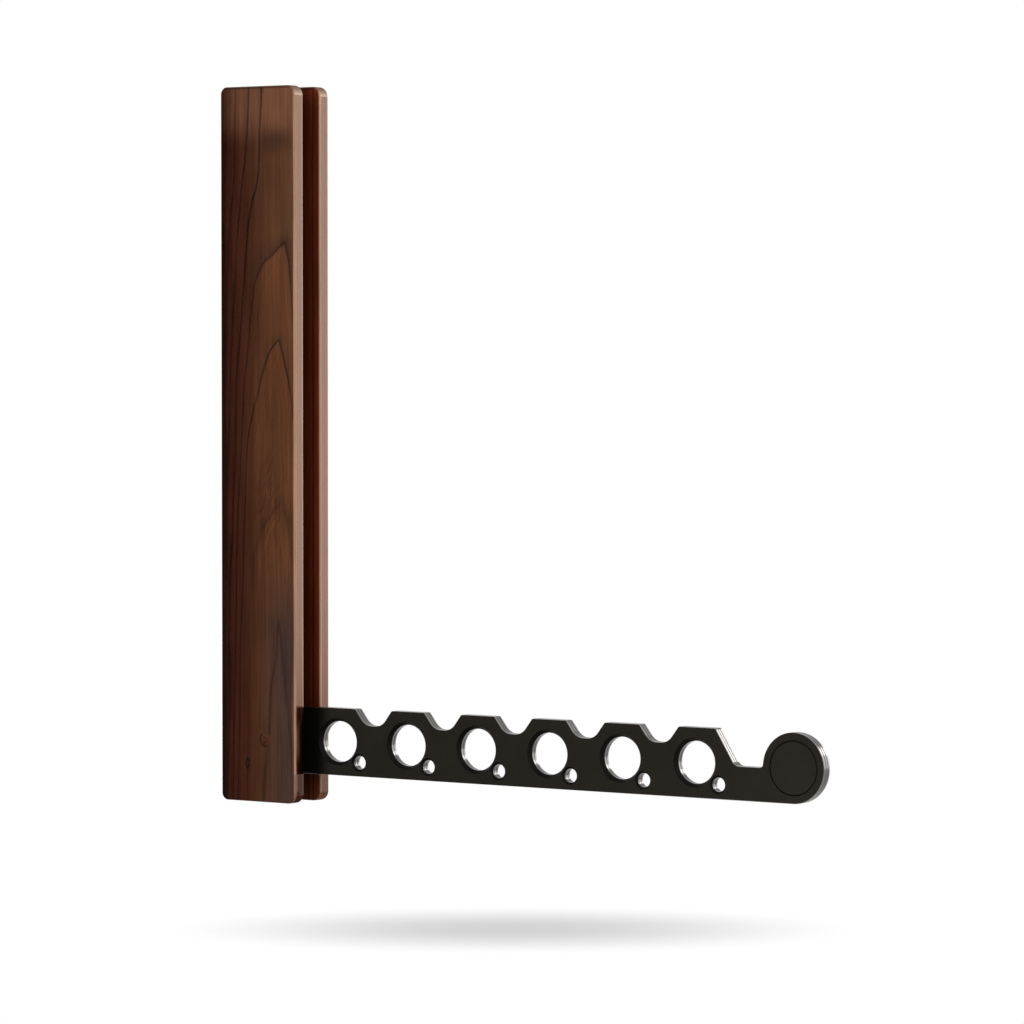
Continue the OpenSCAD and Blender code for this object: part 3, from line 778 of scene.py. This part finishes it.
def left_painted_light_and_knot(wood):
    """Painted shade on the left board's front: brown and then nearly black beside the arm, fainter
    at the foot below it, where the front also has a small knot, and dark again where the front
    curves under at the board's end."""
    x, out, up = wood.x, wood.out, wood.up
    from_face = x + board_out
    arm_high = 1 - up.size().step(half_height - 0.45, half_height + 0.55)
    beside_arm = from_face.step(1.2, 2.0) * arm_high
    foot = wood.below_arm * from_face.step(1.15, 3.15) * 0.55
    knot = ((x - front_knot_x).square() + (up - front_knot_up).square()).root().bell(1.5)
    end = (1 - up.step(-31, -29.2)) * from_face.step(0.65, 1.65) * 0.95
    black_from = up.step(6, 18) * 3.4 - 11.6
    black = ((x - black_from).step(-1.3, 1.1) * beside_arm).most(knot)
    brown = wood.mix(up.size().step(5, 14), arm_shade_brown, arm_shade_dark)
    colour = wood.mix(black, wood.mix(end, brown, end_shade), shade_and_knot_black)
    share = beside_arm.most(foot).most(knot * 0.95).most(end)
    share = share * out.step(body_depth - 4.5, body_depth - 3.5)
    return head_highlight(wood, share, colour)


def right_painted_light_and_streaks(wood):
    """Painted shade where the right board's front curves under at its end, and dark streaks in the
    slot below the arm.
    """
    x, out, up = wood.x, wood.out, wood.up
    across = (x - slot_half).step(0.2, 1.0) * (board_out - x).step(0.2, 1.0)
    end = across * (1 - up.step(-31, -29.4)) * out.step(body_depth - 6, body_depth - 5)
    slot = (1 - (x - slot_half).step(0.1, 0.4)) * (1 - up.step(-20, -18))
    streaks = wood.noise(out / 1.3, x / 9, up / 60, 2).step(-0.1, 0.1)
    share = (end * 0.85).most(slot * (0.25 + streaks * 0.5))
    return head_highlight(wood, share, wood.mix(slot, right_end_shade, slot_streak))


def plug_marks(wood):
    """On a plug: the dark glue line round its back and lower side, and one short grain line."""
    back, up = wood.out - pivot_out, wood.up
    glue = ((back.square() + up.square()).root() - 3.75).bell(0.4)
    glue = glue * (1 - (back * 0.8 + up * 0.45).step(-1.8, 0.6))
    across, along = (up + 1.2) * 0.77 - back * 0.64, (up + 1.2) * 0.64 + back * 0.77
    return (glue * 0.8).most(across.bell(0.3) * along.bell(1.3) * 0.7)


# %% The four walnut finishes
def walnut(name, lane_of, height_of, lightness=1.0, figure=1.0, marks_of=None, painted_light_and_marks_of=None):
    """A walnut material. marks_of gives the darkness of a piece's own marks, from 0 to 1, and the
    last argument the share and colour of a dull layer over it: painted shade, painted highlights
    and marks."""
    wood = Walnut(name, lane_of, height_of, figure)
    clear, shade, warm, ripple = wood.follow_lines()
    light = wood.light(ripple) * lightness
    if marks_of:
        light = light * (1 - marks_of(wood))
    end_grain = ((wood.up - (body_head + body_foot) / 2).size() - body_tall / 2).step(-0.9, -0.1)
    wood.put(Base_Color=wood.shaded(wood.colour(clear, shade, warm), light),
             Roughness=0.20 + wood.fine * 0.08 + wood.pores * 0.08 + end_grain * 0.5,
             Specular_IOR_Level=0.8, Specular_Tint=(1.0, 0.66, 0.43, 1.0))
    wood.bump(wood.fine * 0.4 - wood.pores, 0.25, 0.00008)
    if painted_light_and_marks_of:
        wood.cover(*painted_light_and_marks_of(wood))
    return wood.done()


left_walnut = walnut("walnut_left", lambda x, out, up: out + (x + board_out) * 1.1,
                     lambda x, out, up: up, painted_light_and_marks_of=left_painted_light_and_knot)
right_walnut = walnut("walnut_right", lambda x, out, up: 62 - out * 0.8 - (board_out - x) * 1.1,
                      lambda x, out, up: 318 - up, painted_light_and_marks_of=right_painted_light_and_streaks)
spine_walnut = walnut("walnut_spine", lambda x, out, up: out + x + 12,
                      lambda x, out, up: up * 0.9 + 20, lightness=0.9, figure=0.6)
plug_walnut = walnut("walnut_plug", lambda x, out, up: (out - pivot_out) * 0.8 + up * 1.3 + 24,
                     lambda x, out, up: up * 0.4 - out * 0.9 + 190, lightness=0.95, figure=0.5,
                     marks_of=plug_marks)

# %% [markdown]
# ## Black metal
# The arm's faces are satin black: a thin, slightly grainy coat that gives back little light. The
# cut edges are smoother, and gleam where they face the light box. So the faces and the cut edges
# get two finishes that differ in gloss more than in colour. A third, darker finish on the dished
# rims and on the ring round each tip cap is painted shade.


# %% Black finishes
def coated(name, colour, rough, gloss, bare=0.0, layers=0.0, dark_to=0.0):
    """A thin coat, or a bare cut edge. layers is the strength of the fine lines across a cut
    edge, and dark_to the distance from the wall up to which the arm lies in the slot's dark."""
    finish = Finish(name)
    x, out, up = finish.place()
    cloud = finish.noise(x / 20, out / 20, up / 20, 3)
    speck = finish.noise(x / 0.25, out / 0.25, up / 0.25, 1)
    light = 1 + cloud * 0.30 + speck * 0.25
    if layers:
        seams = (x.size() - layer_places[1]).bell(0.42)
        drawn = finish.noise(x / 0.7, out / 90, up / 90, 1)
        light = (light + drawn * 1.2) * (1 - seams * layers)
    if dark_to:
        light = light * (0.12 + out.step(dark_to - 7, dark_to + 5) * 0.88)
    finish.put(Base_Color=finish.shaded(colour, light), Roughness=rough + cloud * 0.10,
               Specular_IOR_Level=gloss, Metallic=bare)
    finish.bump(speck, 0.1, 0.00002)
    return finish.done()


arm_face = coated("arm_face", linear(38, 35, 29), 0.42, 0.16, dark_to=64)
arm_edge = coated("arm_edge", linear(118, 115, 112), 0.24, 0.5, bare=1.0, layers=0.85)
# The dished rims round the holes and the ring round each tip cap: the coat painted darker, as
# painted shade in these hollows.
arm_rim_shade = coated("arm_rim_shade", linear(15, 13, 11), 0.5, 0.06)
cap_black = coated("cap_black", linear(39, 36, 30), 0.45, 0.16)


# %% [markdown]
# ## Metal, nylon, rubber and beech
# The rest is hardware in and around the pivot. Turned and rolled metal has fine lines along one
# direction, nylon is milky, and rubber is dull. Each has its own small unevenness, so that no
# surface is one flat colour.


# %% Hardware finishes
def metal(name, colour, rough, lines):
    """Brushed metal: noise of the given sizes along x, out and up."""
    finish = Finish(name)
    x, out, up = finish.place()
    brush = finish.noise(x / lines[0], out / lines[1], up / lines[2], 3, 0.6)
    cloud = finish.noise(x / 9, out / 9, up / 9, 2)
    light = 1 + brush * 0.25 + cloud * 0.2
    finish.put(Base_Color=finish.shaded(colour, light), Metallic=1.0,
               Roughness=rough + brush * 0.15 + cloud * 0.08)
    finish.bump(brush, 0.1, 0.00003)
    return finish.done()


def moulded(name, colour, rough, grain, amount):
    """A plain moulded or sawn material: soft clouds and a fine grain of the given sizes."""
    finish = Finish(name)
    x, out, up = finish.place()
    speck = finish.noise(x / grain[0], out / grain[1], up / grain[2], 2)
    cloud = finish.noise(x / 8, out / 8, up / 8, 2)
    light = 1 + speck * amount + cloud * 0.15
    finish.put(Base_Color=finish.shaded(colour, light), Roughness=rough + speck * 0.1)
    finish.bump(speck, 0.15, 0.00003)
    return finish.done()


steel = metal("zinc_steel", linear(176, 177, 178), 0.34, (6.0, 0.2, 0.2))
pin_steel = metal("pin_steel", linear(190, 190, 190), 0.25, (8.0, 0.15, 0.15))
bronze = metal("bushing_bronze", linear(176, 138, 82), 0.42, (0.3, 0.3, 0.3))
nickel = metal("magnet_nickel", linear(200, 198, 194), 0.25, (0.4, 4.0, 4.0))
nylon = moulded("washer_nylon", linear(214, 208, 194), 0.5, (0.4, 0.4, 0.4), 0.06)
rubber = moulded("bumper_rubber", linear(42, 40, 39), 0.75, (0.2, 0.2, 0.2), 0.3)
beech = moulded("dowel_beech", linear(201, 164, 116), 0.6, (8.0, 0.3, 0.3), 0.25)

# %% Each piece gets its finish
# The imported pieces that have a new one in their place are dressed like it.
finishes = [
    (steel, ["wall_screw_cups", "stop_plate", "keeper_plate"]),
    (pin_steel, ["pivot_pin", "stop_screws", "keeper_screw"]),
    (bronze, ["left_bushing", "right_bushing", "arm_sleeve"]), (nickel, ["tip_magnet"]),
    (nylon, ["left_washer", "right_washer"]), (rubber, ["fold_bumpers"]),
    (beech, ["cheek_dowels"]), (spine_walnut, ["spine"]), (left_walnut, ["left_cheek"]),
    (right_walnut, ["right_cheek"]), (plug_walnut, ["left_plug", "right_plug"]),
    (arm_face, ["arm"]), (cap_black, ["left_tip_cap", "right_tip_cap"]),
]


def dress(piece, *materials):
    """Gives a piece its materials. Clearing them resets the zones, so a new piece isn't cleared."""
    if piece.data.materials:
        piece.data.materials.clear()
    for material in materials:
        piece.data.materials.append(material)


for material, names in finishes:
    for name in names:
        dress(nodes[name], material)
dress(boards["left"], left_walnut)
dress(boards["right"], right_walnut)
dress(arm_bar, arm_face, arm_edge, arm_rim_shade)
for side in ("left", "right"):
    dress(plugs[side], plug_walnut)
    dress(caps[side], cap_black, arm_rim_shade)
print(sum(len(names) for _, names in finishes), "packed pieces dressed of", len(nodes))

# %% [markdown]
# ## Camera
# The view is that of a long lens from the left and slightly above: both front edges of the
# boards stay nearly parallel. The camera's directions are written as a matrix, because three
# directions are easier to check than three angles.

# %% Camera
turn, dip = math.radians(34.56), math.radians(2.003)
ahead = Vector((math.cos(turn) * math.cos(dip), math.sin(turn) * math.cos(dip), -math.sin(dip)))
right_hand = Vector((math.sin(turn), -math.cos(turn), 0))
upward = right_hand.cross(ahead)
eye = Vector((-2.14698, -1.66661, 0.22139))
lens = bpy.data.cameras.new("camera")
lens.sensor_width = 36.0
lens.sensor_fit = "HORIZONTAL"
lens.lens = 169.0
lens.clip_end = 50.0
camera = bpy.data.objects.new("camera", lens)
stand = Matrix((right_hand, upward, -ahead)).transposed().to_4x4()
camera.matrix_world = Matrix.Translation(eye) @ stand
scene.collection.objects.link(camera)
scene.camera = camera
print("lens", lens.lens, "mm,", round(eye.length, 3), "m from the origin")

# %% [markdown]
# ## Light and floor
# A tall light box stands on the right, where the boards' front edges and the arm's cut edges mirror
# it to the camera. Its upper part is a brighter strip, for the fronts' heads. Softer boxes in front
# and on the left light the broad side. Two dark cards stand and lie where the broad side would
# mirror the white surroundings. The surroundings are white to the camera and in reflections, and
# give a gentle fill otherwise. The floor shows as white with a painted soft shadow under the valet,
# and keeps a little of the true shadow too.

# %% Lamps
valet_middle = (0, -0.15, 0.13)


def stand_up(thing, place, aim, axis):
    """Puts a thing in its place, with one axis towards aim."""
    thing.location = place
    thing.rotation_euler = (Vector(aim) - Vector(place)).to_track_quat(axis, "Y").to_euler()
    scene.collection.objects.link(thing)


def light_box(name, place, aim, width, height, radiance):
    """A rectangular lamp. Its power is radiance x pi x its area."""
    lamp = bpy.data.lights.new(name, "AREA")
    lamp.shape = "RECTANGLE"
    lamp.size, lamp.size_y = width, height
    lamp.energy = radiance * math.pi * width * height
    box = bpy.data.objects.new(name, lamp)
    box.visible_camera = False
    stand_up(box, place, aim, "-Z")
    print(name, round(lamp.energy, 2), "W")
    return box


light_box("right_box", (1.35, -1.10, 0.17), (0, -0.15, 0.17), 0.9, 0.52, radiance=1.95)
light_box("top_strip", (1.35, -1.10, 0.71), (0, -0.15, 0.71), 0.9, 0.40, radiance=6.6)
light_box("front_box", (-0.9, -1.7, 0.9), valet_middle, 0.8, 1.6, radiance=3.0)
left_box = light_box("left_box", (-1.8, 0.55, 0.8), valet_middle, 1.2, 1.2, radiance=3.4)
left_box.visible_glossy = False


# %% Dark cards, which only mirrors see
def flat_sheet(name, width, height, level=0.0):
    """A rectangle round the middle of its own axes."""
    x, y = width / 2, height / 2
    mesh = bpy.data.meshes.new(name)
    mesh.from_pydata([(-x, -y, level), (x, -y, level), (x, y, level), (-x, y, level)], [],
                     [(0, 1, 2, 3)])
    return bpy.data.objects.new(name, mesh)


def card(name, place, aim, width, height):
    """A black sheet, which faces aim."""
    sheet = flat_sheet(name, width, height)
    sheet.visible_camera = sheet.visible_diffuse = False
    sheet.visible_shadow = sheet.visible_transmission = False
    finish = Finish(name)
    finish.put(Base_Color=(0.01, 0.01, 0.01, 1), Roughness=1.0, Specular_IOR_Level=0.0)
    sheet.data.materials.append(finish.done())
    stand_up(sheet, place, aim, "Z")


card("dark_card", (-1.05, 0.55, 0.15), valet_middle, 1.9, 2.4)
card("low_card", (-0.75, 0.45, -0.09), (-0.75, 0.45, 1.0), 1.5, 1.3)

# %% Surroundings
fill, white_ground = 0.45, 1.0
world = bpy.data.worlds.new("surroundings")
scene.world = world
world.use_nodes = True
sky = Recipe(world.node_tree)
skies = [sky.node("ShaderNodeBackground", (1, 1, 1, 1), strength)
         for strength in (fill, white_ground)]
sky.node("ShaderNodeOutputWorld", sky.blend(sky.looked_at(), *skies).outputs[0])
print("surroundings:", len(sky.tree.nodes), "nodes")

# %% Floor
floor_up, floor_wide = -0.095, 16.0
floor = flat_sheet("floor", floor_wide, floor_wide, floor_up)
scene.collection.objects.link(floor)

paint = Finish("floor_white")
x, out, up = paint.place()
# A painted soft shadow on the floor: an ellipse under the valet, darkest in its middle.
shade_x, shade_out, shade_wide, shade_deep = -13.7, 197.0, 189.0, 107.0
shade_dark, true_shadow = 0.335, 0.12
sideways = (x - shade_x) * right_hand.x - (out - shade_out) * right_hand.y
away = (x - shade_x) * math.cos(turn) - (out - shade_out) * math.sin(turn)
painted_shadow = (1 - ((sideways / shade_wide).square() + (away / shade_deep).square())).most(0)
white = paint.tone(1 - painted_shadow.square() * shade_dark)
glow = paint.node("ShaderNodeEmission", white, 1.0)
matt = paint.node("ShaderNodeBsdfDiffuse", (0.7, 0.7, 0.7, 1))
bounce = paint.node("ShaderNodeBsdfDiffuse", (0.8, 0.8, 0.8, 1))
shown = paint.blend(painted_shadow * true_shadow, glow, matt)
paint.show(paint.blend(paint.looked_at(), bounce, shown))
floor.data.materials.append(paint.done())

scene.view_settings.view_transform = "Standard"
